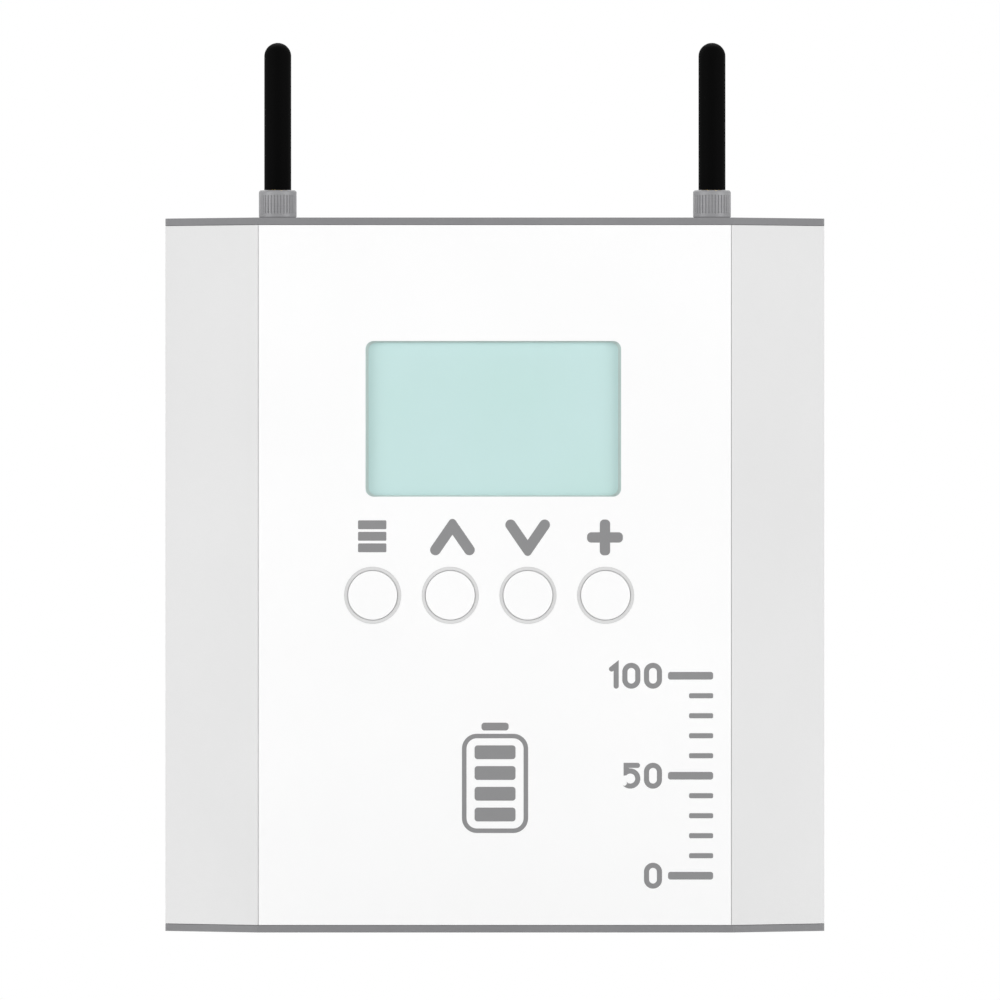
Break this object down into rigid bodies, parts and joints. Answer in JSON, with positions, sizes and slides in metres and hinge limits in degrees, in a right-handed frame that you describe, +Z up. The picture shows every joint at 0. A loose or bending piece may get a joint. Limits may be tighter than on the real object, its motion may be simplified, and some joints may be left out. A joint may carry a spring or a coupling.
{
  "type": "home battery controller",
  "caption": "Wall-mounted controller case with sloping sides, a display window, a row of round keys and two stub antennas on its top plate.",
  "frame": {"origin": "centre of the flat rear face that lies on the wall, at the case's mid height", "axes": "+Z up, -Y out of the front panel, +Y into the wall, +X to the right as seen from the front"},
  "size_m": [0.22, 0.0756, 0.2965],
  "materials": {
    "tray_steel": "zinc-plated sheet, satin",
    "plate_paint": "fine powder coat, matt grey",
    "cover_plastic": "fine moulded texture, light grey",
    "panel_plastic": "fine moulded texture, white",
    "key_plastic": "smooth satin white",
    "ring_plastic": "satin pale grey",
    "clear_lens": "clear acrylic",
    "display_glass": "pale teal liquid crystal",
    "backlight_plastic": "milky diffuser",
    "bezel_metal": "dark grey, satin",
    "circuit_board": "green solder mask",
    "black_plastic": "moulded black",
    "plug_plastic": "moulded dark grey",
    "terminal_plastic": "moulded green",
    "relay_plastic": "moulded blue",
    "transformer_core": "varnished winding and core",
    "capacitor_can": "sleeved can",
    "fuse_glass": "clear tube with plated caps",
    "clip_metal": "bright plating",
    "shield_tin": "tinned shield",
    "ribbon_plastic": "grey flat cable",
    "lead_jacket": "thin black coaxial jacket",
    "brass_parts": "gold-plated brass",
    "screw_steel": "zinc-plated",
    "collar_metal": "grey knurled metal",
    "seal_rubber": "black foam rubber",
    "whip_rubber": "black moulded rubber, matt"
  },
  "bodies": {
    "root": {"rear_tray": "tray_steel", "cable_grommet": "seal_rubber", "top_plate": "plate_paint", "bottom_plate": "plate_paint", "blanking_plugs": "plug_plastic", "top_plate_screws": "screw_steel", "bottom_plate_screws": "screw_steel", "cover_screws": "screw_steel", "front_cover": "cover_plastic", "top_seal": "seal_rubber", "bottom_seal": "seal_rubber", "side_seals": "seal_rubber", "front_panel": "panel_plastic", "display_lens": "clear_lens", "lcd_frame": "bezel_metal", "lcd_glass": "display_glass", "lcd_backlight": "backlight_plastic", "lcd_board": "circuit_board", "lcd_header": "black_plastic", "control_board": "circuit_board", "main_board": "circuit_board", "cover_board_screws": "screw_steel", "main_board_screws": "screw_steel", "board_standoffs": "brass_parts", "button_rings": "ring_plastic", "switch_bodies": "black_plastic", "supply_terminal": "terminal_plastic", "relay_terminal": "terminal_plastic", "sensor_terminal": "terminal_plastic", "relays": "relay_plastic", "transformer": "transformer_core", "capacitors": "capacitor_can", "fuse": "fuse_glass", "fuse_clips": "clip_metal", "processor": "black_plastic", "wifi_module": "shield_tin", "radio_module": "shield_tin", "coin_cell_holder": "black_plastic", "coin_cell": "shield_tin", "ribbon_cable": "ribbon_plastic", "control_ribbon_socket": "black_plastic", "main_ribbon_socket": "black_plastic", "antenna_sockets": "brass_parts", "antenna_nuts": "clip_metal", "antenna_leads": "lead_jacket"},
    "menu_key": {"menu_button": "key_plastic", "menu_switch_plunger": "black_plastic"},
    "up_key": {"up_button": "key_plastic", "up_switch_plunger": "black_plastic"},
    "down_key": {"down_button": "key_plastic", "down_switch_plunger": "black_plastic"},
    "plus_key": {"plus_button": "key_plastic", "plus_switch_plunger": "black_plastic"},
    "left_whip": {"left_antenna_whip": "whip_rubber", "left_antenna_core": "brass_parts"},
    "left_collar": {"left_antenna_collar": "collar_metal"},
    "right_whip": {"right_antenna_whip": "whip_rubber", "right_antenna_core": "brass_parts"},
    "right_collar": {"right_antenna_collar": "collar_metal"}
  },
  "joints": [
    {"name": "menu_key_press", "type": "slide", "parent": "root", "child": "menu_key", "axis": [0, 1, 0], "range_m": [0, 0.0008], "stiffness_N_per_m": 300, "springref_m": -0.004},
    {"name": "up_key_press", "type": "slide", "parent": "root", "child": "up_key", "axis": [0, 1, 0], "range_m": [0, 0.0008], "stiffness_N_per_m": 300, "springref_m": -0.004},
    {"name": "down_key_press", "type": "slide", "parent": "root", "child": "down_key", "axis": [0, 1, 0], "range_m": [0, 0.0008], "stiffness_N_per_m": 300, "springref_m": -0.004},
    {"name": "plus_key_press", "type": "slide", "parent": "root", "child": "plus_key", "axis": [0, 1, 0], "range_m": [0, 0.0008], "stiffness_N_per_m": 300, "springref_m": -0.004},
    {"name": "left_whip_lift", "type": "slide", "parent": "root", "child": "left_whip", "axis": [0, 0, 1], "range_m": [0, 0.0036]},
    {"name": "left_collar_turn", "type": "hinge", "parent": "left_whip", "child": "left_collar", "pos_m": [-0.0725, -0.03, 0.12365], "axis": [0, 0, 1], "range_deg": [0, 1800]},
    {"name": "right_whip_lift", "type": "slide", "parent": "root", "child": "right_whip", "axis": [0, 0, 1], "range_m": [0, 0.0036]},
    {"name": "right_collar_turn", "type": "hinge", "parent": "right_whip", "child": "right_collar", "pos_m": [0.0725, -0.03, 0.12365], "axis": [0, 0, 1], "range_deg": [0, 1800]}
  ],
  "couplings": [
    {"joint": "left_whip_lift", "follows": "left_collar_turn", "m_per_rad": 0.00011229},
    {"joint": "right_whip_lift", "follows": "right_collar_turn", "m_per_rad": 0.00011229}
  ]
}
